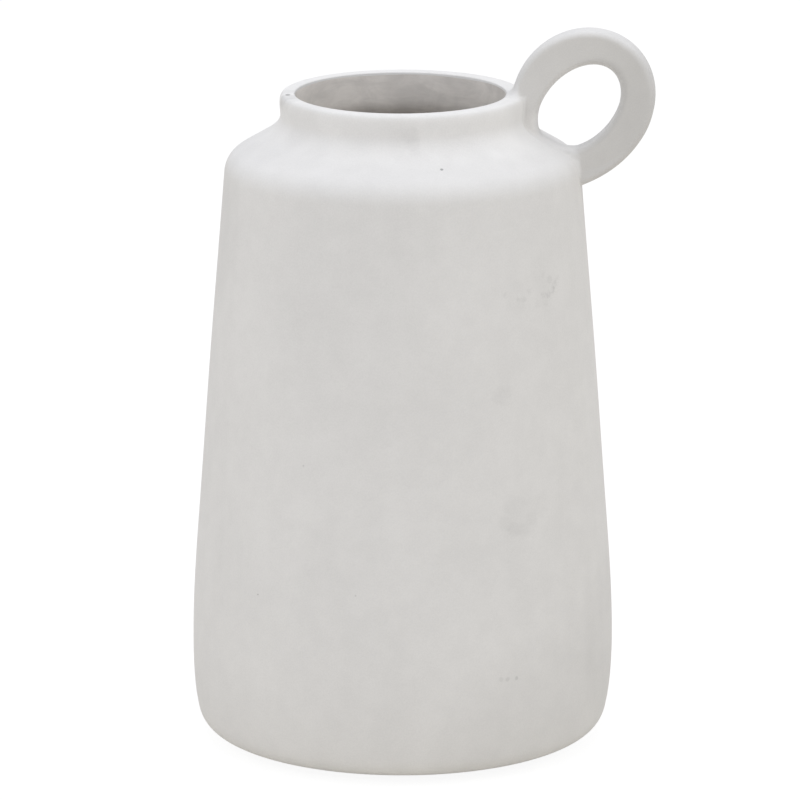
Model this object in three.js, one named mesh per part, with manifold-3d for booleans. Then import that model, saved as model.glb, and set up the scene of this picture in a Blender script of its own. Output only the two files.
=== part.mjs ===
// A matt ceramic jug: a tapering vessel with a short neck, and a flat oval ring handle that stands on its shoulder.
// Millimetres, +Z up. The origin is the middle of the foot, and the handle stands out along +X.
import * as THREE from "three";
import { mergeVertices } from "three/addons/utils/BufferGeometryUtils.js";
import Module from "manifold-3d";

const wasm = await Module();
wasm.setup();

// Vessel, outside: each stretch of the outline, from the foot to the lip, as how far it spreads or draws in and
// how far it rises. Every corner between two stretches is rounded, and a rounding is how far the curve reaches
// along each of them.
const footRadius = 69;
const heelSpread = 15.8;
const heelRise = 5.1;
const heelRounding = 7.6;
const lowerWallSpread = 6.15;
const lowerWallRise = 28.1;
const bellyRoundingBelow = 20;
const bellyRoundingAbove = 54.8;
const wallDraw = 17.1;
const wallRise = 214.9;
const shoulderRounding = 6.2;
const shoulderDraw = 23.25;
const shoulderRise = 14.4;
const neckRoundingBelow = 7;
const neckRoundingAbove = 4.5;
const neckFlare = 0.6;
const neckRise = 12.5;
const lipWidth = 7.5;
const lipRoundingOutside = 2;
const lipRoundingInside = 1.7;

// Vessel, inside
const floorThickness = 8;
const wallThickness = 6.5;
const floorRounding = 14;
const throatRounding = 6;

// Lining glaze
const glazeThickness = 0.5;
const glazeBelowLip = 3;

// Ring handle: an oval hole in an oval slab. The hole's long axis leans out from the jug, and its low end stands
// on the shoulder. Underneath, the slab is drawn down to the wall.
const holeLength = 40.6;
const holeWidth = 28.3;
const bandAtSides = 14.6;
const bandAtTop = 13.2;
const bandAtSeat = 9.1;
const ringThickness = 12;
const ringEdgeRounding = 2.5;
const ringLean = THREE.MathUtils.degToRad(49);
const ringOutFromNeck = 11.8;
const landBelowShoulder = 9.8;

// Slip that beds the handle: a flat bed that spreads past the handle, and a bead that climbs its side
const slipThickness = 0.6;
const slipSpread = 1.8;
const beadSpread = 1.2;
const beadRise = 1.2;

// Clearance between two pieces that are set against each other
const seatGap = 0.3;

// Fineness of the curved faces
const stepsAround = 60;
const stepsPerCorner = 4;
const stepsPerOval = 28;
const stepsPerEdge = 2;
const mergeDistance = 1e-4;

const chalkWhite = new THREE.MeshStandardMaterial({ color: 0xdedcd8, roughness: 0.9, metalness: 0 });
const slipWhite = new THREE.MeshStandardMaterial({ color: 0xe2e0dc, roughness: 0.95, metalness: 0 });
const liningGrey = new THREE.MeshStandardMaterial({ color: 0xb9b4ab, roughness: 0.5, metalness: 0 });

// Solids

function toSolid(geometry) {
  const shell = geometry.clone();
  shell.deleteAttribute("normal");
  shell.deleteAttribute("uv");
  const merged = mergeVertices(shell, mergeDistance);
  return new wasm.Manifold(
    new wasm.Mesh({
      numProp: 3,
      vertProperties: merged.attributes.position.array,
      triVerts: new Uint32Array(merged.index.array),
    }),
  );
}

function toMesh(name, solid, material) {
  const { vertProperties, triVerts } = solid.getMesh();
  const geometry = new THREE.BufferGeometry();
  geometry.setAttribute("position", new THREE.BufferAttribute(vertProperties, 3));
  geometry.setIndex(new THREE.BufferAttribute(triVerts, 1));
  geometry.computeVertexNormals();
  const mesh = new THREE.Mesh(geometry, material);
  mesh.name = name;
  return mesh;
}

// Turns an outline of radius and height, from its lowest point on the axis and round, about Z.
function turned(outline) {
  const geometry = new THREE.LatheGeometry(outline, stepsAround);
  geometry.rotateX(Math.PI / 2);
  return toSolid(geometry);
}

// Outlines: lines are a point and a direction, and a point holds a radius and a height

const point = (radius, height) => new THREE.Vector2(radius, height);

// The line through two corners, moved sideways to the left of the way from the first to the second.
function stretch(from, to, sideways) {
  const along = to.clone().sub(from).normalize();
  const left = point(-along.y, along.x);
  return { at: from.clone().addScaledVector(left, sideways), along };
}

function crossing(one, other) {
  const between = other.at.clone().sub(one.at);
  const run = between.cross(other.along) / one.along.cross(other.along);
  return one.at.clone().addScaledVector(one.along, run);
}

// Draws straight stretches between corners and a curve at each corner that has a rounding. Where two roundings
// would meet on a stretch, both are shortened to fit it.
function rounded(corners) {
  const fits = corners.slice(1).map((corner, i) => {
    const before = corners[i];
    const asked = (before.after ?? 0) + (corner.before ?? 0);
    return Math.min(1, (0.99 * before.at.distanceTo(corner.at)) / Math.max(asked, mergeDistance));
  });
  const path = new THREE.Path();
  path.moveTo(corners[0].at.x, corners[0].at.y);
  corners.slice(1, -1).forEach(({ at, before, after }, i) => {
    if (!before) {
      path.lineTo(at.x, at.y);
      return;
    }
    const towards = (other, reach) => at.clone().lerp(other, reach / at.distanceTo(other));
    const start = towards(corners[i].at, before * fits[i]);
    const end = towards(corners[i + 2].at, after * fits[i + 1]);
    path.lineTo(start.x, start.y);
    path.quadraticCurveTo(at.x, at.y, end.x, end.y);
  });
  const last = corners.at(-1).at;
  path.lineTo(last.x, last.y);
  return path.getPoints(stepsPerCorner);
}

const corner = (at, before, after = before) => ({ at, before, after });

// Vessel

const footEdge = point(footRadius, 0);
const heel = footEdge.clone().add(point(heelSpread, heelRise));
const belly = heel.clone().add(point(lowerWallSpread, lowerWallRise));
const shoulder = belly.clone().add(point(-wallDraw, wallRise));
const neck = shoulder.clone().add(point(-shoulderDraw, shoulderRise));
const lip = neck.clone().add(point(neckFlare, neckRise));
const mouth = lip.clone().add(point(-lipWidth, 0));
const onAxis = (height) => point(0, height);

// The outer faces, from the axis under the foot to the inner edge of the lip, grown outwards by a distance.
function outerCorners(grown) {
  const side = (from, to) => stretch(from, to, -grown);
  const foot = side(onAxis(0), footEdge);
  const underHeel = side(footEdge, heel);
  const lowerWall = side(heel, belly);
  const wall = side(belly, shoulder);
  const slope = side(shoulder, neck);
  const collar = side(neck, lip);
  const top = side(lip, mouth);
  return [
    corner(onAxis(-grown)),
    corner(crossing(foot, underHeel)),
    corner(crossing(underHeel, lowerWall), heelRounding),
    corner(crossing(lowerWall, wall), bellyRoundingBelow, bellyRoundingAbove),
    corner(crossing(wall, slope), shoulderRounding),
    corner(crossing(slope, collar), neckRoundingBelow, neckRoundingAbove),
    corner(crossing(collar, top), lipRoundingOutside),
  ];
}

// The faces of the hollow, from the top of the throat down to the middle of the floor, drawn in by a distance.
function innerCorners(drawnIn, top) {
  const side = (from, to) => stretch(from, to, wallThickness + drawnIn);
  const floor = { at: onAxis(floorThickness + drawnIn), along: point(1, 0) };
  const lowerWall = side(heel, belly);
  const wall = side(belly, shoulder);
  const slope = side(shoulder, neck);
  const throat = { at: point(mouth.x - drawnIn, 0), along: point(0, 1) };
  return [
    corner(point(throat.at.x, top)),
    corner(crossing(throat, slope), throatRounding),
    corner(crossing(slope, wall), shoulderRounding),
    corner(crossing(wall, lowerWall), bellyRoundingAbove, bellyRoundingBelow),
    corner(crossing(lowerWall, floor), floorRounding),
    corner(floor.at),
  ];
}

const mouthCorner = corner(mouth, lipRoundingInside);
const [, ...belowTheMouth] = innerCorners(0, mouth.y);
const body = turned(rounded([...outerCorners(0), mouthCorner, ...belowTheMouth]));

// The vessel as the handle meets it: its outer faces grown by a distance, with no hollow.
const seat = (grown) => turned(rounded([...outerCorners(grown), corner(onAxis(mouth.y + grown))]));

// Lining glaze, a thin shell inside the hollow

const glazeTop = mouth.y - glazeBelowLip;
const glazeOutside = rounded(innerCorners(seatGap, glazeTop)).reverse();
const glazeInside = rounded(innerCorners(seatGap + glazeThickness, glazeTop));
const glaze = turned([...glazeOutside, ...glazeInside]);

// Ring handle

const downShoulder = neck.clone().lerp(shoulder, ringOutFromNeck / neck.distanceTo(shoulder));
const alongLean = point(Math.cos(ringLean), Math.sin(ringLean));
const holeMiddle = downShoulder.clone().addScaledVector(alongLean, holeLength / 2);
const ringMiddle = holeMiddle.clone().addScaledVector(alongLean, (bandAtTop - bandAtSeat) / 2);
const ringHalfLength = (holeLength + bandAtTop + bandAtSeat) / 2;
const ringHalfWidth = holeWidth / 2 + bandAtSides;

const landEnd = shoulder.clone().lerp(belly, landBelowShoulder / shoulder.distanceTo(belly));

// The angle on an oval, from its long axis, at which a straight line from a point below touches its outer side.
function touchingAngle(from, middle, halfLength, halfWidth) {
  const seen = from.clone().sub(middle).rotateAround(onAxis(0), -ringLean);
  const even = point(seen.x / halfLength, seen.y / halfWidth);
  return Math.atan2(even.y, even.x) + Math.acos(Math.min(1, 1 / even.length()));
}

// The slab of the ring with its hole, before it is trimmed to the vessel, with every face grown by a distance.
function ringSlab(grown) {
  const halfLength = ringHalfLength + grown;
  const halfWidth = ringHalfWidth + grown;
  const landFoot = landEnd.clone().sub(point(0, grown));
  const start = touchingAngle(landFoot, ringMiddle, halfLength, halfWidth);
  const slab = new THREE.Shape();
  slab.absellipse(ringMiddle.x, ringMiddle.y, halfLength, halfWidth, start, Math.PI, false, ringLean);
  const touching = slab.curves[0].getPoint(0);
  const inWall = landFoot.clone().lerp(touching, -wallThickness / landFoot.distanceTo(touching));
  slab.lineTo(inWall.x, inWall.y);
  const hole = new THREE.Path();
  const holeHalf = point(holeLength / 2 - grown, holeWidth / 2 - grown);
  hole.absellipse(holeMiddle.x, holeMiddle.y, holeHalf.x, holeHalf.y, 0, 2 * Math.PI, false, ringLean);
  slab.holes.push(hole);
  const flatDepth = ringThickness + 2 * grown - 2 * ringEdgeRounding;
  const geometry = new THREE.ExtrudeGeometry(slab, {
    depth: flatDepth,
    bevelThickness: ringEdgeRounding,
    bevelSize: ringEdgeRounding,
    bevelOffset: -ringEdgeRounding,
    bevelSegments: stepsPerEdge,
    curveSegments: stepsPerOval,
  });
  geometry.translate(0, 0, -flatDepth / 2);
  geometry.rotateX(Math.PI / 2);
  return toSolid(geometry);
}

const bedTop = seatGap + slipThickness;
const ring = ringSlab(0).subtract(seat(bedTop + seatGap));

// Slip joints: one bed under each land of the handle, parted along the hole's long axis

const allSlip = ringSlab(slipSpread)
  .intersect(seat(bedTop))
  .add(ringSlab(beadSpread).intersect(seat(bedTop + beadRise)))
  .subtract(seat(seatGap))
  .subtract(ringSlab(seatGap).intersect(seat(bedTop + beadRise + seatGap)).subtract(seat(bedTop)));

// A block on one side of the hole's long axis: side is 1 above it and -1 below.
function sideBlock(side) {
  const reach = 4 * ringHalfLength;
  const geometry = new THREE.BoxGeometry(reach, reach, reach);
  geometry.translate(0, 0, side * (reach / 2 + seatGap));
  geometry.rotateY(-ringLean);
  geometry.translate(holeMiddle.x, 0, holeMiddle.y);
  return toSolid(geometry);
}

const jug = new THREE.Group();
jug.add(
  toMesh("jug_body", body, chalkWhite),
  toMesh("inner_glaze", glaze, liningGrey),
  toMesh("ring_handle", ring, chalkWhite),
  toMesh("upper_slip_joint", allSlip.intersect(sideBlock(1)), slipWhite),
  toMesh("lower_slip_joint", allSlip.intersect(sideBlock(-1)), slipWhite),
);

export default jug;
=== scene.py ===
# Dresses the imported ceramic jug: a chalky, slightly uneven vessel, a ring handle bedded in smeared slip,
# and a mottled lining glaze. Lengths and places on the jug are written in millimetres and turned into
# metres as meshes and materials are made.
import math

import bpy
import numpy as np
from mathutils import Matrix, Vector


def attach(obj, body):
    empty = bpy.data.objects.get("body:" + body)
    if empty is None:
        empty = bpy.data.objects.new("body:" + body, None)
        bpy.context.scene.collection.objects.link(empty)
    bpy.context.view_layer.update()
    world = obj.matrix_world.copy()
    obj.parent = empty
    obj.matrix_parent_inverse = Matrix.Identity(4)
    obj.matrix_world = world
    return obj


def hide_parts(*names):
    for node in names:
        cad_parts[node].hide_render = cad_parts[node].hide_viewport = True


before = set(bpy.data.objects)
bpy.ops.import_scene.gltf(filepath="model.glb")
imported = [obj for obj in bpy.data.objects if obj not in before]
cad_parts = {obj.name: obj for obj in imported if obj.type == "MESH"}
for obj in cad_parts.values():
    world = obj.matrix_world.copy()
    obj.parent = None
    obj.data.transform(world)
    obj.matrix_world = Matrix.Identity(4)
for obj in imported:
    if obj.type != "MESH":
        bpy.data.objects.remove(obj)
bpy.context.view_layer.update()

MM = 0.001

# The vessel's outline, as corners of radius and height with how far each rounding reaches before and after
FOOT = (68.3, 0.0)
HEEL = (84.85, 5.2)
BELLY = (90.95, 33.2)
SHOULDER = (73.85, 248.2)
NECK = (50.5, 261.9)
LIP = (51.6, 275.3)
MOUTH = (44.0, 275.3)
FOOT_ROUNDING = 1.2
HEEL_ROUNDING = 7.1
BELLY_BELOW, BELLY_ABOVE = 20.0, 54.8
SHOULDER_ROUNDING = 6.2
NECK_BELOW, NECK_ABOVE = 10.5, 4.8
LIP_DOWN_NECK, LIP_OUTSIDE, LIP_INSIDE = 5.6, 2.5, 0.8
WALL = 6.5
INNER_FLOOR = 8.0
INNER_FLOOR_ROUNDING = 14.0
THROAT_ROUNDING = 6.0

# Lining glaze
GLAZE_GAP = 0.05
GLAZE_THICKNESS = 0.4
GLAZE_BELOW_LIP = 1.0
GLAZE_EDGE_THICKNESS = 0.05
GLAZE_EDGE_TAPER = 5.0
GLAZE_WAVES = 7
GLAZE_WAVE_HEIGHT = 0.3
GLAZE_WAVE_START = 0.8
GLAZE_WAVE_REACH = 6.0
GLAZE_CREASE = math.radians(50)

# Ring handle, in the plane of X and Z, and the height above which the wall is near it
LEAN = math.radians(49)
COS_LEAN, SIN_LEAN = math.cos(LEAN), math.sin(LEAN)
HOLE_MIDDLE = (73.75, 270.9)
HOLE_LENGTH, HOLE_WIDTH = 41.7, 28.3
RING_MIDDLE = (75.3, 273.05)
RING_HALF_LENGTH, RING_HALF_WIDTH = 31.38, 28.72
RING_THICKNESS = 12.0
RING_EDGE = 2.5
LAND_END = (74.6, 237.8)
UNDERSIDE_LEAVES = math.radians(25)
NEAR_HANDLE = 215.0
HANDLE_BOX_LOW = (41.0, -14.0, 226.0)
HANDLE_BOX_HIGH = (108.0, 14.0, 306.0)

# Slip round the handle: how far it fills the corner on the faces, in the hole, over the lip and at the
# lowest land, as steps of height and reach or as one reach, and the spans over which one gives way to another
SLIP_MOST = 7.0
SLIP_ON_FACES = [
    (238, 1.4),
    (244, 1.6),
    (249, 2.4),
    (254, 3.4),
    (258, 2.2),
    (262, 1.3),
    (269, 1.4),
    (276, 2.0),
]
SLIP_IN_HOLE = [(253, 7.0), (258, 3.4), (262, 2.2), (267, 1.2)]
SLIP_OVER_LIP = 4.0
SLIP_LAND = 1.4
FACES_BEGIN = 1.5
OVER_LIP_BEGINS = (268.0, 274.0)
OVER_LIP_ENDS = (47.5, 51.0)
LAND_ENDS = (240.0, 250.0)

# How the slip lies: it starts a little off the ring and stands proud of the wall, and sinks into it at its end
SLIP_STARTS = 0.05
SLIP_LIFT = 0.03
SLIP_DIP = 0.35
SLIP_SPREAD = 4.0
SLIP_SINKS_WITHIN = 0.8

# Handmade unevenness: waves round the wall, as count, start, height per radian and share, a slight bulge, and
# how far shoulder and mouth drift sideways or stand higher at the front. The floor's middle stays as it is
WAVES = [(2, 0.6, 90.0, 1.0), (3, -1.1, -140.0, 0.6), (5, 2.0, 60.0, 0.5)]
SWELL = 0.16
SWELL_BEGINS = (2.0, 30.0)
BULGE, BULGE_HEIGHT, BULGE_SPREAD = 0.28, 165.0, 45.0
SHOULDER_DRIFT = 0.3
SHOULDER_DRIFT_BEGINS = (0.0, 45.0)
MOUTH_DRIFT = -0.85
MOUTH_DRIFT_BEGINS = (245.0, 268.0)
MOUTH_DRIFT_ENDS = (44.5, 48.5)
LIP_RISE, LIP_RISE_POWER = 0.12, 2
LIP_RISE_BEGINS = (264.0, 275.0)
FRONT_RISE, FRONT_RISE_POWER = 0.8, 4
FRONT_RISE_BEGINS = (225.0, 246.0)
FRONT_RISE_ENDS = (250.0, 262.0)
STILL_RADIUS = 10.0

# Fineness of the outlines and meshes, and the share of a stretch that the roundings at its ends may take up
STEPS_AROUND = 240
STEPS_PER_ROUNDING = 12
OUTLINE_STEP = 4.0
OVAL_STEPS = 120
UNDERSIDE_STEPS = 20
ROUNDINGS_FIT = 0.99
CELL = 0.7
NO_LENGTH = 1e-6

# How the points of the joined surface settle: evened out with their neighbours, then put back on the surface
SLOPE_STEP = 0.02
SETTLING_ROUNDS = 3
SETTLING_SHARE = 0.5
RETURNS_PER_ROUND = 2
LEAST_STEEP = 0.25


def smoothstep(value, low, high):
    t = np.clip((value - low) / (high - low), 0.0, 1.0)
    return t * t * (3 - 2 * t)


def read_off(steps, height):
    """The value at a height, from steps of a height and its value."""
    heights, values = zip(*steps)
    return np.interp(height, heights, values)


# Outlines


def towards(a, b, distance):
    """The point at a distance from a on the line to b."""
    return a + (b - a) * distance / np.linalg.norm(b - a)


def curve(start, control, end, count):
    """Points of a curve that leaves its start, and reaches its end, in line with the control point."""
    t = np.linspace(0, 1, count)[:, None]
    return (1 - t) ** 2 * start + 2 * t * (1 - t) * control + t * t * end


def rounded(corners):
    """Points along straight stretches, with a curve at each (point, before, after) that has a rounding."""
    at = [np.array(corner[0], float) for corner in corners]
    fits = []
    for (_, _, after), (_, before, _), a, b in zip(corners, corners[1:], at, at[1:]):
        room = ROUNDINGS_FIT * np.linalg.norm(b - a)
        fits.append(min(1.0, room / max(after + before, NO_LENGTH)))
    path = [at[0]]
    for i in range(1, len(at) - 1):
        _, before, after = corners[i]
        if not before:
            path.append(at[i])
            continue
        start = towards(at[i], at[i - 1], before * fits[i - 1])
        end = towards(at[i], at[i + 1], after * fits[i])
        path.extend(curve(start, at[i], end, STEPS_PER_ROUNDING + 1))
    path.append(at[-1])
    return np.array(path)


def divided(path, step):
    """The same path with its long stretches cut into steps."""
    made = [path[:1]]
    for a, b in zip(path, path[1:]):
        count = max(1, math.ceil(np.linalg.norm(b - a) / step))
        made.append(a + (b - a) * (np.arange(1, count + 1) / count)[:, None])
    return np.concatenate(made)


def moved_in(a, b, distance):
    """The line from a to b moved to its left, as a point and a direction."""
    a, b = np.array(a, float), np.array(b, float)
    along = (b - a) / np.linalg.norm(b - a)
    return a + distance * np.array([-along[1], along[0]]), along


def crossing(one, other):
    """Where two lines meet, each given as a point and a direction."""
    (p, d), (q, e) = one, other
    run = ((q - p)[0] * e[1] - (q - p)[1] * e[0]) / (d[0] * e[1] - d[1] * e[0])
    return p + d * run


def inner_corners(drawn_in, top):
    """The inside's corners from the mouth down to the middle of the floor, drawn in from the bare wall."""
    floor = (np.array([0.0, INNER_FLOOR + drawn_in]), np.array([1.0, 0.0]))
    lower = moved_in(HEEL, BELLY, WALL + drawn_in)
    wall = moved_in(BELLY, SHOULDER, WALL + drawn_in)
    slope = moved_in(SHOULDER, NECK, WALL + drawn_in)
    throat = (np.array([MOUTH[0] - drawn_in, 0.0]), np.array([0.0, 1.0]))
    return [
        ((throat[0][0], top), 0, 0),
        (crossing(throat, slope), THROAT_ROUNDING, THROAT_ROUNDING),
        (crossing(slope, wall), SHOULDER_ROUNDING, SHOULDER_ROUNDING),
        (crossing(wall, lower), BELLY_ABOVE, BELLY_BELOW),
        (crossing(lower, floor), INNER_FLOOR_ROUNDING, INNER_FLOOR_ROUNDING),
        (floor[0], 0, 0),
    ]


OUTSIDE = [
    ((0.0, 0.0), 0, 0),
    (FOOT, FOOT_ROUNDING, FOOT_ROUNDING),
    (HEEL, HEEL_ROUNDING, HEEL_ROUNDING),
    (BELLY, BELLY_BELOW, BELLY_ABOVE),
    (SHOULDER, SHOULDER_ROUNDING, SHOULDER_ROUNDING),
    (NECK, NECK_BELOW, NECK_ABOVE),
    (LIP, LIP_DOWN_NECK, LIP_OUTSIDE),
    (MOUTH, LIP_INSIDE, LIP_INSIDE),
]
VESSEL_OUTLINE = rounded(OUTSIDE + inner_corners(0.0, MOUTH[1])[1:])
UPPER_WALL = VESSEL_OUTLINE[VESSEL_OUTLINE[:, 1] > NEAR_HANDLE]


# Unevenness of a pot shaped by hand


def unevenness(x, y, z):
    """How far the wall is drawn in and how far it has drifted sideways, at points in millimetres."""
    around = np.arctan2(y, x)
    waves = sum(share * np.sin(count * around + start + z / pitch) for count, start, pitch, share in WAVES)
    wave = waves / sum(share for _, _, _, share in WAVES)
    drawn_in = SWELL * (1 + wave) / 2 * smoothstep(z, *SWELL_BEGINS)
    drawn_in = drawn_in - BULGE * np.exp(-(((z - BULGE_HEIGHT) / BULGE_SPREAD) ** 2))
    inside_lip = 1 - smoothstep(np.hypot(x, y), *MOUTH_DRIFT_ENDS)
    in_the_mouth = smoothstep(z, *MOUTH_DRIFT_BEGINS) * inside_lip
    drift = SHOULDER_DRIFT * smoothstep(z, *SHOULDER_DRIFT_BEGINS) + MOUTH_DRIFT * in_the_mouth
    return drawn_in, drift


def shaped_by_hand(points):
    """Points of the even vessel moved to where the uneven one has them."""
    x, y, z = points.T
    drawn_in, drift = unevenness(x, y, z)
    radius = np.maximum(np.hypot(x, y), NO_LENGTH)
    kept = np.where(radius > STILL_RADIUS, 1 - drawn_in / radius, 1.0)
    front = (1 - y / radius) / 2
    on_slope = smoothstep(z, *FRONT_RISE_BEGINS) * (1 - smoothstep(z, *FRONT_RISE_ENDS))
    rise = LIP_RISE * front**LIP_RISE_POWER * smoothstep(z, *LIP_RISE_BEGINS)
    rise = rise + FRONT_RISE * front**FRONT_RISE_POWER * on_slope
    return np.stack([x * kept + drift, y * kept, z + rise], 1)


def on_body(azimuth, height):
    """The point of the shaped outside at an azimuth in degrees and a height."""
    outside = VESSEL_OUTLINE[1 : np.argmax(VESSEL_OUTLINE[:, 1])]
    radius = np.interp(height, outside[:, 1], outside[:, 0])
    turn = math.radians(azimuth)
    return shaped_by_hand(np.array([[radius * math.cos(turn), radius * math.sin(turn), height]]))[0]


def on_lip(x, y):
    """The point of the shaped lip's top at x and y."""
    return shaped_by_hand(np.array([[x, y, LIP[1]]]))[0]


# Meshes


def placed(name, data):
    """A new object in the scene."""
    made = bpy.data.objects.new(name, data)
    bpy.context.scene.collection.objects.link(made)
    return made


def make_piece(name, points, faces, material, slot, *nodes, normals=None, crease=None):
    """A smooth piece of the jug, in the place of its nodes of the solids."""
    mesh = bpy.data.meshes.new(name)
    mesh.from_pydata((points * MM).tolist(), [], faces)
    mesh.update()
    mesh.polygons.foreach_set("use_smooth", [True] * len(mesh.polygons))
    if crease:
        mesh.set_sharp_from_angle(angle=crease)
    if normals is not None:
        mesh.normals_split_custom_set_from_vertices(normals.tolist())
    mesh.materials.append(material)
    piece = placed(name, mesh)
    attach(piece, "root")
    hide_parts(*nodes)


def turned(outline):
    """Points and faces of an outline turned about Z. One that starts and ends on the axis closes there."""
    on_axis = outline[0][0] == 0
    rings = outline[1:-1] if on_axis else outline
    around = np.arange(STEPS_AROUND) * 2 * math.pi / STEPS_AROUND
    radius, height = rings[:, :1], np.repeat(rings[:, 1:], STEPS_AROUND, 1)
    points = np.stack([radius * np.cos(around), radius * np.sin(around), height], -1).reshape(-1, 3)
    count = len(rings)
    step = np.arange(STEPS_AROUND)
    after = (step + 1) % STEPS_AROUND
    last = count - 1 if on_axis else count
    faces = []
    for i in range(last):
        low, high = i * STEPS_AROUND, (i + 1) % count * STEPS_AROUND
        faces += np.stack([low + step, low + after, high + after, high + step], 1).tolist()
    if on_axis:
        ends = np.array([[0, 0, outline[0][1]], [0, 0, outline[-1][1]]])
        bottom, top = len(points), len(points) + 1
        points = np.concatenate([points, ends])
        high = last * STEPS_AROUND
        faces += [[bottom, b, a] for a, b in zip(step.tolist(), after.tolist())]
        faces += [[top, high + a, high + b] for a, b in zip(step.tolist(), after.tolist())]
    return points, faces


def lining_mesh():
    """Points and faces of a thin skin inside the wall, which thins out to a slightly wavy upper edge."""
    top = MOUTH[1] - GLAZE_BELOW_LIP
    outer = divided(rounded(inner_corners(GLAZE_GAP, top)), OUTLINE_STEP)[::-1]
    inner = divided(rounded(inner_corners(GLAZE_GAP + GLAZE_THICKNESS, top)), OUTLINE_STEP)
    thinner = smoothstep(inner[:, 1], top - GLAZE_EDGE_TAPER, top)
    inner[:, 0] += (GLAZE_THICKNESS - GLAZE_EDGE_THICKNESS) * thinner
    points, faces = turned(np.concatenate([outer, inner]))
    around = np.arctan2(points[:, 1], points[:, 0])
    lowered = GLAZE_WAVE_HEIGHT * (1 + np.sin(GLAZE_WAVES * around + GLAZE_WAVE_START)) / 2
    points[:, 2] -= lowered * smoothstep(points[:, 2], top - GLAZE_WAVE_REACH, top)
    return points, faces


# Distances that the handle and its slip are shaped by


def outline_distance(points, outline):
    """Distance from points to a closed outline in a plane, negative inside."""
    a, b = outline, np.roll(outline, -1, 0)
    run = b - a
    keep = (run**2).sum(1) > NO_LENGTH**2
    a, b, run = a[keep], b[keep], run[keep]
    nearest = np.full(len(points), np.inf)
    inside = np.zeros(len(points), bool)
    x, y = points.T
    for (ax, ay), (bx, by), (rx, ry) in zip(a, b, run):
        t = np.clip(((x - ax) * rx + (y - ay) * ry) / (rx * rx + ry * ry), 0, 1)
        nearest = np.minimum(nearest, (x - ax - t * rx) ** 2 + (y - ay - t * ry) ** 2)
        if ay != by:
            spans = (ay > y) != (by > y)
            inside ^= spans & (x < (bx - ax) * (y - ay) / (by - ay) + ax)
    return np.where(inside, -1, 1) * np.sqrt(nearest)


def oval(middle, half_length, half_width, start, end):
    """Points of a leaning oval from one angle to another."""
    t = np.linspace(start, end, OVAL_STEPS)
    u, v = half_length * np.cos(t), half_width * np.sin(t)
    x = middle[0] + u * COS_LEAN - v * SIN_LEAN
    z = middle[1] + u * SIN_LEAN + v * COS_LEAN
    return np.stack([x, z], 1)


def ring_outline():
    """The slab's outer edge: an oval that leaves for the wall underneath in a slightly bulging curve."""
    land = np.array(LAND_END)
    x, z = land - RING_MIDDLE
    even_x = (x * COS_LEAN + z * SIN_LEAN) / RING_HALF_LENGTH
    even_y = (-x * SIN_LEAN + z * COS_LEAN) / RING_HALF_WIDTH
    touching = math.atan2(even_y, even_x) + math.acos(min(1.0, 1 / math.hypot(even_x, even_y)))
    leaves = touching + UNDERSIDE_LEAVES
    edge = oval(RING_MIDDLE, RING_HALF_LENGTH, RING_HALF_WIDTH, leaves, math.pi)
    control = towards(edge[0], edge[1], -np.linalg.norm(edge[0] - land) / 2)
    in_wall = towards(land, control, -WALL)
    under = curve(land, control, edge[0], UNDERSIDE_STEPS)
    return np.concatenate([[in_wall], under[:-1], edge])


RING_OUTLINE = ring_outline()
HOLE_OUTLINE = oval(HOLE_MIDDLE, HOLE_LENGTH / 2, HOLE_WIDTH / 2, 0, 2 * math.pi)[:-1]


def ring_distance(points):
    """Distance from points to the ring, a slab with a hole and rounded edges."""
    flat = points[:, [0, 2]]
    edge = np.maximum(outline_distance(flat, RING_OUTLINE), -outline_distance(flat, HOLE_OUTLINE))
    side = edge + RING_EDGE
    face = np.abs(points[:, 1]) - RING_THICKNESS / 2 + RING_EDGE
    outside = np.hypot(np.maximum(side, 0), np.maximum(face, 0))
    return np.minimum(np.maximum(side, face), 0) + outside - RING_EDGE


def wall_distance(points):
    """Distance from points to the uneven vessel's upper wall."""
    x, y, z = points.T
    drawn_in, drift = unevenness(x, y, z)
    radius = np.hypot(x - drift, y) + drawn_in
    return outline_distance(np.stack([radius, z], 1), UPPER_WALL)


def slip_reach(points):
    """How far slip fills the corner between handle and vessel: most in the hole, least at the lowest land."""
    x, y, z = points.T
    faces, in_hole = read_off(SLIP_ON_FACES, z), read_off(SLIP_IN_HOLE, z)
    reach = in_hole + (faces - in_hole) * smoothstep(np.abs(y), FACES_BEGIN, RING_THICKNESS / 2)
    over_lip = smoothstep(z, *OVER_LIP_BEGINS) * (1 - smoothstep(x, *OVER_LIP_ENDS))
    reach = reach + (SLIP_OVER_LIP - reach) * over_lip
    return SLIP_LAND + (reach - SLIP_LAND) * smoothstep(z, *LAND_ENDS)


def joined_distance(points):
    """Distance from points to ring and wall together, with the corner between them filled."""
    ring, wall, reach = ring_distance(points), wall_distance(points), slip_reach(points)
    blend = np.maximum(reach - np.abs(ring - wall), 0) / reach
    return np.minimum(ring, wall) - blend * blend * reach / 4


def slope_of(distance, points):
    """How steeply a distance rises at points, along X, Y and Z."""
    rise = [distance(points + SLOPE_STEP * e) - distance(points - SLOPE_STEP * e) for e in np.eye(3)]
    return np.stack(rise, 1) / (2 * SLOPE_STEP)


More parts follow.
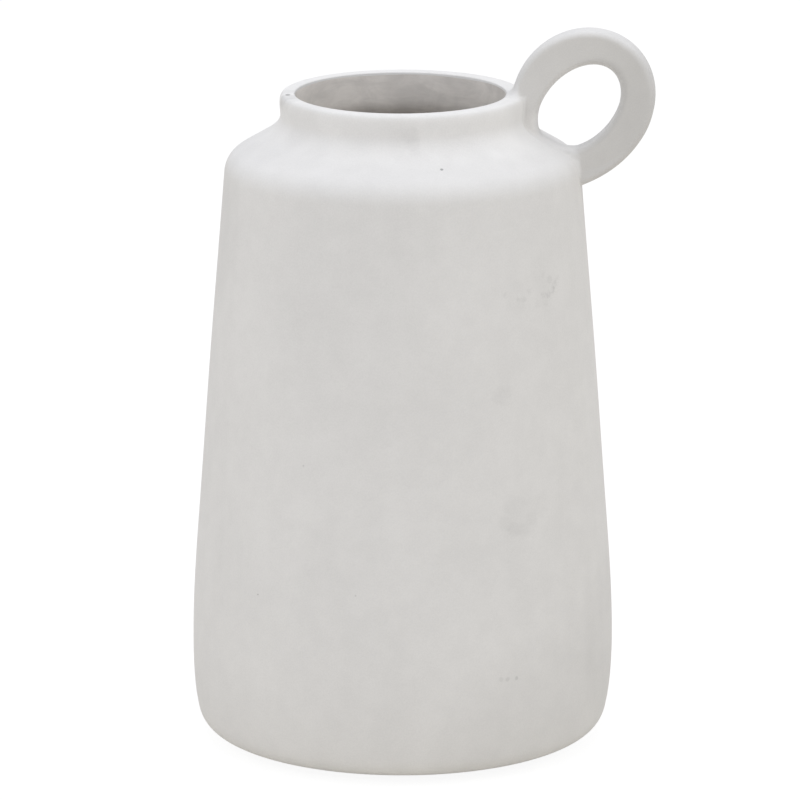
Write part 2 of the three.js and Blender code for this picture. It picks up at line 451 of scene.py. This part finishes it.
def level_surface(distance, low, high, cell):
    """Points and faces of the surface where distance is zero, inside a box."""
    axes = [np.arange(a, b + cell, cell) for a, b in zip(low, high)]
    grid = np.stack(np.meshgrid(*axes, indexing="ij"), -1)
    value = distance(grid.reshape(-1, 3)).reshape(grid.shape[:3])
    cells = tuple(n - 1 for n in value.shape)
    total, count = np.zeros((*cells, 3)), np.zeros(cells)
    crossings = []
    for axis in range(3):
        first = [slice(None)] * 3
        second = [slice(None)] * 3
        first[axis], second[axis] = slice(None, -1), slice(1, None)
        f0, f1 = value[tuple(first)], value[tuple(second)]
        crossed = (f0 < 0) != (f1 < 0)
        share = np.where(crossed, f0 / np.where(crossed, f0 - f1, 1), 0)
        place = grid[tuple(first)] + share[..., None] * (grid[tuple(second)] - grid[tuple(first)])
        place = place * crossed[..., None]
        u, v = [k for k in range(3) if k != axis]
        for du in (0, 1):
            for dv in (0, 1):
                part = [slice(None)] * 3
                part[u] = slice(du, du + cells[u])
                part[v] = slice(dv, dv + cells[v])
                total += place[tuple(part)]
                count += crossed[tuple(part)]
        crossings.append((axis, u, v, crossed, f0))
    used = count > 0
    index = np.full(cells, -1)
    index[used] = np.arange(used.sum())
    points = total[used] / count[used][:, None]
    faces = []
    for axis, u, v, crossed, f0 in crossings:
        at = np.argwhere(crossed)
        inner = (at[:, u] > 0) & (at[:, v] > 0) & (at[:, u] < cells[u]) & (at[:, v] < cells[v])
        at = at[inner]
        inside_first = f0[tuple(at.T)] < 0
        corners = []
        for du, dv in ((-1, -1), (0, -1), (0, 0), (-1, 0)):
            cell_at = at.copy()
            cell_at[:, u] += du
            cell_at[:, v] += dv
            corners.append(index[tuple(cell_at.T)])
        quads = np.stack(corners, 1)
        flip = inside_first if axis == 1 else ~inside_first
        quads[flip] = quads[flip][:, ::-1]
        faces.append(quads)
    return points, np.concatenate(faces)


def settled(distance, points, faces):
    """Evens out the spacing of a surface's points and puts them exactly on it."""
    edges = np.concatenate([faces[:, [0, 1]], faces[:, [1, 2]], faces[:, [2, 3]], faces[:, [3, 0]]])
    for _ in range(SETTLING_ROUNDS):
        total = np.zeros_like(points)
        count = np.zeros(len(points))
        for a, b in ((0, 1), (1, 0)):
            np.add.at(total, edges[:, a], points[edges[:, b]])
            np.add.at(count, edges[:, a], 1)
        points = points + SETTLING_SHARE * (total / np.maximum(count, 1)[:, None] - points)
        for _ in range(RETURNS_PER_ROUND):
            slope = slope_of(distance, points)
            steep = np.maximum((slope**2).sum(1), LEAST_STEEP)
            points = points - slope * (distance(points) / steep)[:, None]
    return points


def part_of(faces, wanted, *rows):
    """Some of the faces, and what they use of each array that has one row for every point."""
    chosen = faces[wanted]
    used = np.unique(chosen)
    return np.searchsorted(used, chosen), *(row[used] for row in rows)


def handle_mesh():
    """Points, faces and normals of ring and slip as one surface, and how far each point is from the ring."""
    points, faces = level_surface(joined_distance, HANDLE_BOX_LOW, HANDLE_BOX_HIGH, CELL)
    near = ring_distance(points[faces].mean(1)) < SLIP_MOST + SLIP_SPREAD
    faces, points = part_of(faces, near, points)
    points = settled(joined_distance, points, faces)
    normals = slope_of(joined_distance, points)
    normals /= np.linalg.norm(normals, axis=1)[:, None]
    from_ring = ring_distance(points)
    reach = slip_reach(points)
    sunk = smoothstep(from_ring, reach, reach + SLIP_SPREAD * SLIP_SINKS_WITHIN)
    raised = SLIP_LIFT - (SLIP_DIP + SLIP_LIFT) * sunk
    points = points + normals * np.where(from_ring > SLIP_STARTS, raised, 0)[:, None]
    return points, faces, normals, from_ring


# Marks on body and lip: the middle, how far it reaches, and how much darker it is, or paler below zero

PINHOLES = [
    (on_lip(-46.9, -8.7), 1.4, 0.36),
    (on_lip(-46.9, -10.4), 1.4, 0.36),
    (on_body(-70.2, 254.9), 1.0, 0.5),
    (on_body(-128.2, 76.8), 0.6, 0.35),
    (on_body(-97.8, 82.2), 0.6, 0.15),
    (on_body(-114.3, 134.0), 0.6, 0.14),
    (on_body(-57.8, 44.7), 1.5, 0.06),
    (on_body(-55.8, 44.3), 1.4, 0.1),
    (on_body(-53.0, 44.1), 1.2, 0.15),
]
SCUFFS = [
    (on_body(-37.0, 201.0), 2.3, 0.09),
    (on_body(-34.6, 200.7), 2.3, 0.09),
    (on_body(-32.2, 201.9), 2.5, 0.09),
    (on_body(-31.2, 204.0), 2.5, 0.08),
    (on_body(-33.6, 206.6), 2.6, 0.05),
    (on_body(-29.8, 206.4), 2.4, 0.04),
    (on_body(-40.0, 197.6), 2.4, 0.03),
    (on_body(-36.2, 197.4), 2.4, 0.03),
    (on_body(-36.7, 209.3), 1.6, 0.04),
    (on_body(-43.0, 203.7), 2.3, 0.05),
    (on_body(-47.4, 201.4), 2.0, 0.06),
    (on_body(-45.4, 201.0), 2.0, 0.06),
    (on_body(-52.1, 203.9), 2.0, 0.05),
    (on_body(-54.5, 162.4), 5.5, 0.03),
]
SMUDGES = [
    (on_body(-36.0, 203.5), 9.5, 0.016),
    (on_body(-48.0, 202.5), 9.5, 0.012),
    (on_body(-54.5, 162.4), 7.0, 0.02),
    (on_body(-49.8, 111.6), 13.8, 0.024),
    (on_body(-54.0, 116.3), 4.6, 0.02),
    (on_body(-55.0, 110.0), 4.8, 0.024),
    (on_body(-52.2, 106.2), 4.8, 0.026),
    (on_body(-48.8, 105.9), 4.6, 0.02),
    (on_body(-46.3, 110.3), 4.4, 0.02),
    (on_body(-81.5, 267.5), 5.0, 0.03),
    (on_body(-80.2, 264.0), 4.0, 0.035),
    (on_body(-79.4, 260.5), 3.6, 0.022),
]
# Painted shade and light: soft patches on the body, darker, or paler where the depth is below zero, and darker
# patches on the lip's left by its pinholes
PAINTED_SHADES_AND_LIGHT = [
    (on_body(-38.0, 6.0), 75.0, 0.05),
    (on_body(-140.0, 268.5), 15.0, 0.035),
    (on_body(-85.0, 270.0), 9.0, 0.025),
    (on_body(-90.0, 256.0), 28.0, 0.01),
    (on_body(-36.0, 263.0), 19.0, -0.04),
    (on_body(-170.0, 222.0), 46.0, 0.04),
    (on_body(-8.0, 48.0), 45.0, 0.05),
    (on_body(-105.0, 222.0), 55.0, 0.018),
    (on_lip(-47.0, -14.0), 7.5, 0.12),
    (on_lip(-45.0, -20.5), 6.0, 0.05),
    (on_lip(-48.3, -3.0), 6.0, 0.05),
]

# Edges of marks: full up to one share of the reach, and straying by another. Scuffs are worn through in places
MARK_FULL_SHARE = 0.35
MARK_STRAY_SHARE = 0.8
MARK_STRAY_NOISE, NOISE_MIDDLE = (330.0, 2.0), 0.5
MARK_WORN_NOISE, MARK_WORN = (620.0, 3.0, 0.7), (0.4, 0.62, 0.35, 1.0)

# Painted light and shade on the body by height: the span, and the tones below and above it. Paler from the
# shoulder up through neck and lip, a little darker low on the wall, and paler at the heel against its shade at
# the floor
PAINTED_LIGHT_BY_HEIGHT = [
    ((235.0, 255.0), 1.0, 1.012),
    ((255.0, 262.0), 1.0, 1.04),
    ((10.0, 50.0), 0.985, 1.0),
    ((0.5, 8.0), 1.07, 1.0),
]

# Bare clay: its colour, what soiling does to it, and its noises as scale, detail, roughness and distortion,
# each with the range that is read from it and the tones that this range stands for
CLAY = (0.862, 0.853, 0.844)
SOILING = (1.0, 0.993, 0.976)
CLOUD_NOISE, CLOUD_TONES = (16.0, 3.0), (0.3, 0.7, 0.988, 1.012)
MOTTLE_NOISE, MOTTLE_TONES = (95.0, 4.0, 0.6), (0.25, 0.75, 0.982, 1.018)
GRAIN_NOISE, GRAIN_TONES = (1500.0, 2.0, 0.6), (0.2, 0.8, 0.975, 1.025)
STREAK_STRETCH = (55.0, 55.0, 7.0)
STREAK_NOISE, STREAK_TONES = (1.0, 3.0, 0.55, 0.4), (0.3, 0.7, 0.992, 1.008)
CLAY_ROUGHNESS = (0.3, 0.7, 0.86, 0.96)
CLAY_SPECULAR = 0.22
GRAIN_HEIGHT, MOTTLE_HEIGHT, SPECK_DEPTH = 0.35, 0.8, 0.8
CLAY_BUMP, CLAY_BUMP_DEPTH = 0.5, 0.12

# Specks: cells in a metre, the draw above which a cell has one, its edge as a share of the cell, its tone,
# and the span of Y over which specks begin
SPECK_CELLS = 130.0
SPECK_DRAW = 0.93
SPECK_EDGE = (0.03, 0.075)
SPECK_TONE = 0.72
SPECKS_BEGIN = (0.0, 20.0)

# The handle's clay takes over from the body's tone off the wall, and above the lip past the smeared slip
OFF_WALL = (0.0, 1.6)
SLOPE_ALLOWANCE = 0.2
SLOPE_ALLOWANCE_ENDS = (258.0, 266.0)
ABOVE_LIP = (LIP[1] - 0.2, LIP[1] + 1.0)
SMEAR_SIDE = (6.3, 8.0)
SMEAR_ENDS = (48.0, 49.8)
SMEAR_TOP = (LIP[1] + 2.5, LIP[1] + 7.0)
CORNER, CORNER_REACH, CORNER_SHARE = (72.0, 0.0, 250.2), 4.0, 0.4
FLATTENED = (1.0, 0.0, 1.0)

# Tones of the ring: darker outwards on its faces, with a patch of painted light, and painted light on its
# edges, palest high up and near the jug
FACE_TONE, FACE_TONE_OUTER = 0.9, 0.805
FACE_TONE_SPAN, FACE_TONE_SLANT = (-12.0, 47.0), 0.2
FACE_LIGHT_PATCH, FACE_LIGHT_REACH, FACE_LIGHT_TONE = (55.0, 0.0, 262.0), 12.5, 1.15
FACE_SIDE = (4.3, 6.4)
FACE_ENDS, FACE_END_SHARE = (0.89, 0.97), 0.35
EDGE_LIGHT_LOW, EDGE_LIGHT = 0.86, 0.965
EDGE_LIGHT_SPAN, EDGE_LIGHT_SLANT = (232.0, 254.0), 0.5
EDGE_HIGHLIGHT, EDGE_HIGHLIGHT_REACH, EDGE_HIGHLIGHT_TONE = (62.0, 0.0, 259.0), 24.0, 0.985

# Painted shade round the finger hole's rim, darkest on the side away from the jug, in spans of the hole's own
# oval and of X
RIM_SHADE = 0.9
RIM_BEGINS, RIM_INSIDE_SHARE = (0.995, 1.06), 0.35
RIM_ENDS = (1.06, 1.27)
RIM_SIDE = (65.0, 84.0)

# Lining glaze: colour, clouds, wipes round the bore, tones across it and down it, which are painted light and
# shade, paler on the left and deep down and darker on the right, and surface
LINING = (0.842, 0.808, 0.768)
LINING_NOISE, LINING_TONES = (70.0, 4.0, 0.6, 0.5), (0.3, 0.7, 0.91, 1.06)
WIPE_STRETCH = (60.0, 60.0, 190.0)
WIPE_NOISE, WIPE_TONES = (1.0, 4.0, 0.6, 1.0), (0.35, 0.7, 0.95, 1.05)
BORE_ACROSS, BORE_LEFT_LIGHT, BORE_RIGHT_SHADE = (-45.0, 45.0), 1.035, 0.935
BORE_DOWN, BORE_BELOW_LIGHT = (240.0, 253.0), 1.16
LINING_ROUGHNESS = (0.3, 0.7, 0.55, 0.7)
LINING_BUMP, LINING_BUMP_DEPTH = 0.4, 0.3

# Materials


def plug(tree, socket, value):
    """Links a socket to another's output, or gives it a value of its own."""
    if isinstance(value, bpy.types.NodeSocket):
        tree.links.new(value, socket)
    else:
        socket.default_value = value


def node(tree, kind, inputs=None, **settings):
    made = tree.nodes.new(kind)
    for name, value in settings.items():
        setattr(made, name, value)
    for name, value in (inputs or {}).items():
        plug(tree, made.inputs[name], value)
    return made


def maths(tree, operation, *values):
    made = node(tree, "ShaderNodeMath", operation=operation)
    for socket, value in zip(made.inputs, values):
        plug(tree, socket, value)
    return made.outputs[0]


def product(tree, first, *others):
    """All the values multiplied."""
    for value in others:
        first = maths(tree, "MULTIPLY", first, value)
    return first


def blended(tree, share, one, other):
    """One value where the share is 0 and the other where it is 1."""
    return maths(tree, "ADD", one, product(tree, share, maths(tree, "SUBTRACT", other, one)))


def ranged(tree, value, low, high, to_low, to_high):
    """A value that goes smoothly from one result to another while it rises from low to high."""
    inputs = {"Value": value, "From Min": low, "From Max": high, "To Min": to_low, "To Max": to_high}
    made = node(tree, "ShaderNodeMapRange", inputs, interpolation_type="SMOOTHSTEP")
    return made.outputs["Result"]


def between(tree, length, span, to_low, to_high):
    """The same for a length, over a span in millimetres."""
    return ranged(tree, length, span[0] * MM, span[1] * MM, to_low, to_high)


def toned(tree, share, tone):
    """1 where the share is 0, and the tone where it is 1."""
    return ranged(tree, share, 0.0, 1.0, 1.0, tone)


def noise(tree, where, scale, detail, roughness=0.5, distortion=0.0):
    inputs = {"Vector": where, "Scale": scale, "Detail": detail, "Roughness": roughness}
    made = node(tree, "ShaderNodeTexNoise", {**inputs, "Distortion": distortion})
    return made.outputs["Fac"]


def vector_maths(tree, operation, output, inputs):
    return node(tree, "ShaderNodeVectorMath", inputs, operation=operation).outputs[output]


def stretched(tree, where, factors):
    return node(tree, "ShaderNodeMapping", {"Vector": where, "Scale": factors}).outputs["Vector"]


def parted(tree, where):
    """The X, Y and Z of a place."""
    return node(tree, "ShaderNodeSeparateXYZ", {"Vector": where}).outputs


def mixed(tree, share, one, other):
    """One colour where the share is 0 and the other where it is 1."""
    inputs = {"Factor": share, "A": (*one, 1), "B": (*other, 1)}
    return node(tree, "ShaderNodeMix", inputs, data_type="RGBA").outputs["Result"]


def bumped(tree, height, strength, depth):
    """Normals bent by a height, whose steps are as deep as the depth in millimetres."""
    inputs = {"Height": height, "Strength": strength, "Distance": depth * MM}
    return node(tree, "ShaderNodeBump", inputs).outputs["Normal"]


def new_material(name):
    """A material, its empty tree, and the place on the object that its textures go by."""
    material = bpy.data.materials.new(name)
    material.use_nodes = True
    tree = material.node_tree
    tree.nodes.clear()
    return material, tree, node(tree, "ShaderNodeTexCoord").outputs["Object"]


def surfaced(tree, colour, roughness, normal, **others):
    """Gives a material its surface."""
    inputs = {"Base Color": colour, "Roughness": roughness, "Normal": normal, **others}
    shader = node(tree, "ShaderNodeBsdfPrincipled", inputs)
    node(tree, "ShaderNodeOutputMaterial", {"Surface": shader.outputs[0]})


def seen_directly(tree):
    """1 for what is seen, also in gloss or through glass, and 0 for what lights other things."""
    path = node(tree, "ShaderNodeLightPath").outputs
    seen = maths(tree, "MAXIMUM", path["Is Camera Ray"], path["Is Glossy Ray"])
    return maths(tree, "MAXIMUM", seen, path["Is Transmission Ray"])


def fading(tree, where, middle, reach, stray=None):
    """1 round a point, 0 beyond its reach."""
    away = vector_maths(tree, "DISTANCE", "Value", {0: where, 1: np.array(middle) * MM})
    if stray is not None:
        away = maths(tree, "ADD", away, product(tree, stray, reach * MM * MARK_STRAY_SHARE))
    return between(tree, away, (reach * MARK_FULL_SHARE, reach), 1.0, 0.0)


def from_wall(tree, where):
    """Distance outwards from the vessel's wall, slope and neck, in metres."""
    x, y, z = parted(tree, where)
    radius = maths(tree, "SQRT", maths(tree, "ADD", product(tree, x, x), product(tree, y, y)))
    off = []
    for a, b in ((BELLY, SHOULDER), (SHOULDER, NECK), (NECK, LIP)):
        out = np.array([b[1] - a[1], a[0] - b[0]]) / math.hypot(b[1] - a[1], a[0] - b[0])
        part = maths(tree, "ADD", product(tree, radius, out[0]), product(tree, z, out[1]))
        off.append(maths(tree, "SUBTRACT", part, float(np.dot(out, b)) * MM))
    wall, slope, neck = off
    return maths(tree, "MINIMUM", neck, maths(tree, "MAXIMUM", wall, slope))


def out_of_oval(tree, where, middle, half_length, half_width):
    """How far out a place is from the middle of a leaning oval: 1 on the oval."""
    centre = (middle[0] * MM, 0.0, middle[1] * MM)
    inputs = {"Vector": where, "Angle": LEAN, "Center": centre}
    upright = node(tree, "ShaderNodeVectorRotate", inputs, rotation_type="Y_AXIS").outputs["Vector"]
    upright = vector_maths(tree, "SUBTRACT", "Vector", {0: upright, 1: centre})
    even = stretched(tree, upright, (1 / half_length / MM, 0.0, 1 / half_width / MM))
    return vector_maths(tree, "LENGTH", "Value", {0: even})


def handle_share(tree, where):
    """1 on the handle's own clay, 0 where it is one with the jug's."""
    x, y, z = parted(tree, where)
    above_lip = between(tree, z, ABOVE_LIP, 0.0, 1.0)
    beside = between(tree, maths(tree, "ABSOLUTE", y), SMEAR_SIDE, 1.0, 0.0)
    beyond = between(tree, x, SMEAR_ENDS, 0.0, 1.0)
    past_smear = maths(tree, "MAXIMUM", beyond, between(tree, z, SMEAR_TOP, 0.0, 1.0))
    above_lip = product(tree, above_lip, beside, past_smear)
    allowance = between(tree, z, SLOPE_ALLOWANCE_ENDS, -SLOPE_ALLOWANCE * MM, 0.0)
    off_wall = maths(tree, "ADD", from_wall(tree, where), allowance)
    away = maths(tree, "MAXIMUM", between(tree, off_wall, OFF_WALL, 0.0, 1.0), above_lip)
    corner = fading(tree, stretched(tree, where, FLATTENED), CORNER, CORNER_REACH)
    return product(tree, away, toned(tree, corner, CORNER_SHARE))


def face_share(tree, where):
    """1 on the ring's faces, 0 on its edges."""
    side = maths(tree, "ABSOLUTE", parted(tree, where)[1])
    outward = out_of_oval(tree, where, RING_MIDDLE, RING_HALF_LENGTH, RING_HALF_WIDTH)
    short_of_edge = ranged(tree, outward, *FACE_ENDS, 1.0, FACE_END_SHARE)
    return product(tree, between(tree, side, FACE_SIDE, 0.0, 1.0), short_of_edge)


def shaded_hole_rim(tree, where):
    """Painted shade round the finger hole's rim: darkest on the side away from the jug."""
    outward = out_of_oval(tree, where, HOLE_MIDDLE, HOLE_LENGTH / 2, HOLE_WIDTH / 2)
    # Painted shade on the rim, on the side away from the jug
    soiled = product(
        tree,
        ranged(tree, outward, *RIM_ENDS, 1.0, 0.0),
        between(tree, parted(tree, where)[0], RIM_SIDE, 0.0, 1.0),
        ranged(tree, outward, *RIM_BEGINS, RIM_INSIDE_SHARE, 1.0),
    )
    return toned(tree, soiled, RIM_SHADE)


def handled(tree, where):
    """Tone of the handle's clay, darker than the body's where hands reach it, with painted light on its edges
    and on a patch of its face and painted shade round the finger hole, and how much it is soiled.
    """
    x, _, z = parted(tree, where)
    along = maths(tree, "SUBTRACT", x, product(tree, z, FACE_TONE_SLANT))
    face = between(tree, along, FACE_TONE_SPAN, FACE_TONE, FACE_TONE_OUTER)
    # Painted light on a patch of the face by the neck
    face = product(tree, face, toned(tree, fading(tree, where, FACE_LIGHT_PATCH, FACE_LIGHT_REACH), FACE_LIGHT_TONE))
    # Painted light on the edges: paler than the faces, palest high up and near the jug
    edge_light_height = maths(tree, "SUBTRACT", z, product(tree, x, EDGE_LIGHT_SLANT))
    edge = between(tree, edge_light_height, EDGE_LIGHT_SPAN, EDGE_LIGHT_LOW, EDGE_LIGHT)
    near_jug = fading(tree, where, EDGE_HIGHLIGHT, EDGE_HIGHLIGHT_REACH)
    edge = maths(tree, "MAXIMUM", edge, ranged(tree, near_jug, 0.0, 1.0, 0.0, EDGE_HIGHLIGHT_TONE))
    on_face = face_share(tree, where)
    tone = blended(tree, maths(tree, "SUBTRACT", 1.0, on_face), face, edge)
    tone = product(tree, tone, shaded_hole_rim(tree, where))
    own = handle_share(tree, where)
    return blended(tree, own, 1.0, tone), product(tree, own, on_face)


def marked(tree, where, value):
    """Pinholes, scuffs, smudges and soft patches of painted shade and light, each at its own place on the body,
    and painted light and shade by height.
    """
    stray = maths(tree, "SUBTRACT", noise(tree, where, *MARK_STRAY_NOISE), NOISE_MIDDLE)
    worn = ranged(tree, noise(tree, where, *MARK_WORN_NOISE), *MARK_WORN)
    kinds = (
        (PINHOLES, stray, None),
        (SCUFFS, stray, worn),
        (SMUDGES, stray, None),
        (PAINTED_SHADES_AND_LIGHT, None, None),
    )
    for marks, edge, wear in kinds:
        for middle, reach, depth in marks:
            mark = fading(tree, where, middle, reach, edge)
            if wear is not None:
                mark = product(tree, mark, wear)
            value = product(tree, value, toned(tree, mark, 1 - depth))
    height = parted(tree, where)[2]
    # Painted light and shade by height
    for span, below, above in PAINTED_LIGHT_BY_HEIGHT:
        value = product(tree, value, between(tree, height, span, below, above))
    return value


def specks(tree, where):
    """1 in a few dark specks on the back, 0 elsewhere."""
    inputs = {"Vector": where, "Scale": SPECK_CELLS, "Randomness": 1.0}
    cells = node(tree, "ShaderNodeTexVoronoi", inputs).outputs
    drawn = node(tree, "ShaderNodeSeparateColor", {"Color": cells["Color"]}).outputs[0]
    return product(
        tree,
        maths(tree, "GREATER_THAN", drawn, SPECK_DRAW),
        between(tree, parted(tree, where)[1], SPECKS_BEGIN, 0.0, 1.0),
        ranged(tree, cells["Distance"], *SPECK_EDGE, 1.0, 0.0),
    )


def clay_material(name, on_handle):
    """Bare chalky clay: clouded, mottled, streaky and grainy, with a few dark specks."""
    material, tree, where = new_material(name)
    shade, soil = handled(tree, where) if on_handle else (1.0, 0.0)
    mottle = noise(tree, where, *MOTTLE_NOISE)
    grain = noise(tree, where, *GRAIN_NOISE)
    streaks = noise(tree, stretched(tree, where, STREAK_STRETCH), *STREAK_NOISE)
    speck = specks(tree, where)
    value = product(
        tree,
        ranged(tree, noise(tree, where, *CLOUD_NOISE), *CLOUD_TONES),
        shade,
        ranged(tree, mottle, *MOTTLE_TONES),
        ranged(tree, streaks, *STREAK_TONES),
        ranged(tree, grain, *GRAIN_TONES),
        toned(tree, speck, SPECK_TONE),
    )
    if not on_handle:
        value = marked(tree, where, value)
    soiled = tuple(part * share for part, share in zip(CLAY, SOILING))
    colour = mixed(tree, soil, CLAY, soiled)
    colour = vector_maths(tree, "SCALE", "Vector", {"Vector": colour, "Scale": value})
    height = maths(tree, "ADD", product(tree, grain, GRAIN_HEIGHT), product(tree, mottle, MOTTLE_HEIGHT))
    height = maths(tree, "SUBTRACT", height, product(tree, speck, SPECK_DEPTH))
    normal = bumped(tree, height, CLAY_BUMP, CLAY_BUMP_DEPTH)
    roughness = ranged(tree, mottle, *CLAY_ROUGHNESS)
    surfaced(tree, colour, roughness, normal, **{"Specular IOR Level": CLAY_SPECULAR})
    return material


def lining_material():
    """Matt lining glaze: taupe grey, clouded, with paler wipes round the bore, and painted light and shade:
    paler on the bore's left and deep down, darker on its right.
    """
    material, tree, where = new_material("lining_glaze")
    clouds = noise(tree, where, *LINING_NOISE)
    wipes = noise(tree, stretched(tree, where, WIPE_STRETCH), *WIPE_NOISE)
    x, _, z = parted(tree, where)
    value = product(
        tree,
        ranged(tree, clouds, *LINING_TONES),
        ranged(tree, wipes, *WIPE_TONES),
        # Painted light and shade: paler on the bore's left and deep down, darker on its right
        between(tree, x, BORE_ACROSS, BORE_LEFT_LIGHT, BORE_RIGHT_SHADE),
        between(tree, z, BORE_DOWN, BORE_BELOW_LIGHT, 1.0),
    )
    colour = vector_maths(tree, "SCALE", "Vector", {"Vector": LINING, "Scale": value})
    normal = bumped(tree, wipes, LINING_BUMP, LINING_BUMP_DEPTH)
    surfaced(tree, colour, ranged(tree, clouds, *LINING_ROUGHNESS), normal)
    return material


body_clay = clay_material("body_clay", False)
handle_clay = clay_material("handle_clay", True)
joint_slip = clay_material("joint_slip", True)
lining_glaze = lining_material()

# Vessel and lining

points, faces = turned(divided(VESSEL_OUTLINE, OUTLINE_STEP))
make_piece("vessel", shaped_by_hand(points), faces, body_clay, "body_clay", "jug_body")
points, faces = lining_mesh()
points = shaped_by_hand(points)
make_piece("lining", points, faces, lining_glaze, "lining_glaze", "inner_glaze", crease=GLAZE_CREASE)

# Handle and slip: one joined surface, parted where the slip starts

points, faces, normals, from_ring = handle_mesh()
x, _, z = points[faces].mean(1).T
is_slip = from_ring[faces].mean(1) > SLIP_STARTS
above = (z - HOLE_MIDDLE[1]) * COS_LEAN > (x - HOLE_MIDDLE[0]) * SIN_LEAN
for name, wanted, material, slot, cad_node in (
    ("handle", ~is_slip, handle_clay, "handle_clay", "ring_handle"),
    ("upper_slip", is_slip & above, joint_slip, "joint_slip", "upper_slip_joint"),
    ("lower_slip", is_slip & ~above, joint_slip, "joint_slip", "lower_slip_joint"),
):
    quads, at, facing = part_of(faces, wanted, points, normals)
    make_piece(name, at, quads.tolist(), material, slot, cad_node, normals=facing)

# Floor, with its half width in metres: it looks white and keeps the jug's shadow, and sends up a warmer light,
# which is brighter under and near the jug

FLOOR_CORNERS = ((-1, -1), (1, -1), (1, 1), (-1, 1))
FLOOR_HALF = 8.0
FLOOR_DROP = 0.2
FLOOR_NEAR, FLOOR_FAR = (0.88, 0.85, 0.78), (0.75, 0.715, 0.64)
FLOOR_NEAR_ENDS = (90.0, 115.0)
FLOOR_SHADOWED = (0.15, 0.15, 0.15)
FLOOR_GLOW = 0.91
WHITE = (1.0, 1.0, 1.0)

floor_mesh = bpy.data.meshes.new("floor")
floor_points = [(x * FLOOR_HALF, y * FLOOR_HALF, -FLOOR_DROP * MM) for x, y in FLOOR_CORNERS]
floor_mesh.from_pydata(floor_points, [], [(0, 1, 2, 3)])
floor = placed("floor", floor_mesh)

floor_material, tree, where = new_material("floor")
near = between(tree, vector_maths(tree, "LENGTH", "Value", {0: where}), FLOOR_NEAR_ENDS, 1.0, 0.0)
sent_up = node(tree, "ShaderNodeBsdfDiffuse", {"Color": mixed(tree, near, FLOOR_FAR, FLOOR_NEAR)})
shadowed = node(tree, "ShaderNodeBsdfDiffuse", {"Color": (*FLOOR_SHADOWED, 1)})
glow = node(tree, "ShaderNodeEmission", {"Color": (*WHITE, 1), "Strength": FLOOR_GLOW})
white = node(tree, "ShaderNodeAddShader", {0: shadowed.outputs[0], 1: glow.outputs[0]})
shaders = {0: seen_directly(tree), 1: sent_up.outputs[0], 2: white.outputs[0]}
either = node(tree, "ShaderNodeMixShader", shaders)
node(tree, "ShaderNodeOutputMaterial", {"Surface": either.outputs[0]})
floor_mesh.materials.append(floor_material)

# Light: an even light from all round, and lamps as name, place and size in metres, energy and colour

AMBIENT = (0.605, 0.610, 0.632)
LAMP_AIM_HEIGHT = 0.14
LAMPS = [
    ("overhead", (0.0, 0.1, 3.0), 2.4, 17.5, (0.92, 0.952, 1.0)),
    ("left", (-2.4, -0.42, 2.2), 1.2, 4.5, (1.0, 0.985, 0.91)),
    ("front", (-1.2, -2.05, 2.1), 1.2, 8.5, (0.95, 0.968, 1.0)),
    ("right", (2.4, -0.42, 2.2), 1.2, 11.0, (1.0, 0.985, 0.915)),
]

world = bpy.data.worlds.new("studio")
bpy.context.scene.world = world
world.use_nodes = True
tree = world.node_tree
tree.nodes.clear()
light = mixed(tree, seen_directly(tree), AMBIENT, WHITE)
sky = node(tree, "ShaderNodeBackground", {"Color": light, "Strength": 1.0})
node(tree, "ShaderNodeOutputWorld", {"Surface": sky.outputs[0]})


def aimed(thing, place, height):
    """Puts a lamp or the camera in its place, turned to a height on the jug's axis."""
    thing.location = place
    thing.rotation_mode = "QUATERNION"
    thing.rotation_quaternion = (Vector((0, 0, height)) - Vector(place)).to_track_quat("-Z", "Y")


for name, place, size, energy, colour in LAMPS:
    lamp_data = bpy.data.lights.new(name, "AREA")
    lamp_data.shape = "DISK"
    lamp_data.size = size
    lamp_data.energy = energy
    lamp_data.color = colour
    lamp = placed(name, lamp_data)
    lamp.visible_camera = False
    aimed(lamp, place, LAMP_AIM_HEIGHT)

# Camera: its place and aim in metres, its sensor and lens in millimetres

CAMERA_DISTANCE = 2.602
CAMERA_HEIGHT = 0.797
CAMERA_AZIMUTH = math.radians(-85)
CAMERA_AIM_HEIGHT = 0.1375
CAMERA_SENSOR, CAMERA_LENS = 36.0, 287.28
CAMERA_SHIFT = (-0.00244, 0.01763)
CAMERA_CLIP = (0.1, 30.0)

camera_data = bpy.data.cameras.new("camera")
camera_data.sensor_width = CAMERA_SENSOR
camera_data.lens = CAMERA_LENS
camera_data.shift_x, camera_data.shift_y = CAMERA_SHIFT
camera_data.clip_start, camera_data.clip_end = CAMERA_CLIP
camera = placed("camera", camera_data)
camera_x = CAMERA_DISTANCE * math.cos(CAMERA_AZIMUTH)
camera_y = CAMERA_DISTANCE * math.sin(CAMERA_AZIMUTH)
aimed(camera, (camera_x, camera_y, CAMERA_HEIGHT), CAMERA_AIM_HEIGHT)
bpy.context.scene.camera = camera
bpy.context.scene.view_settings.view_transform = "Standard"
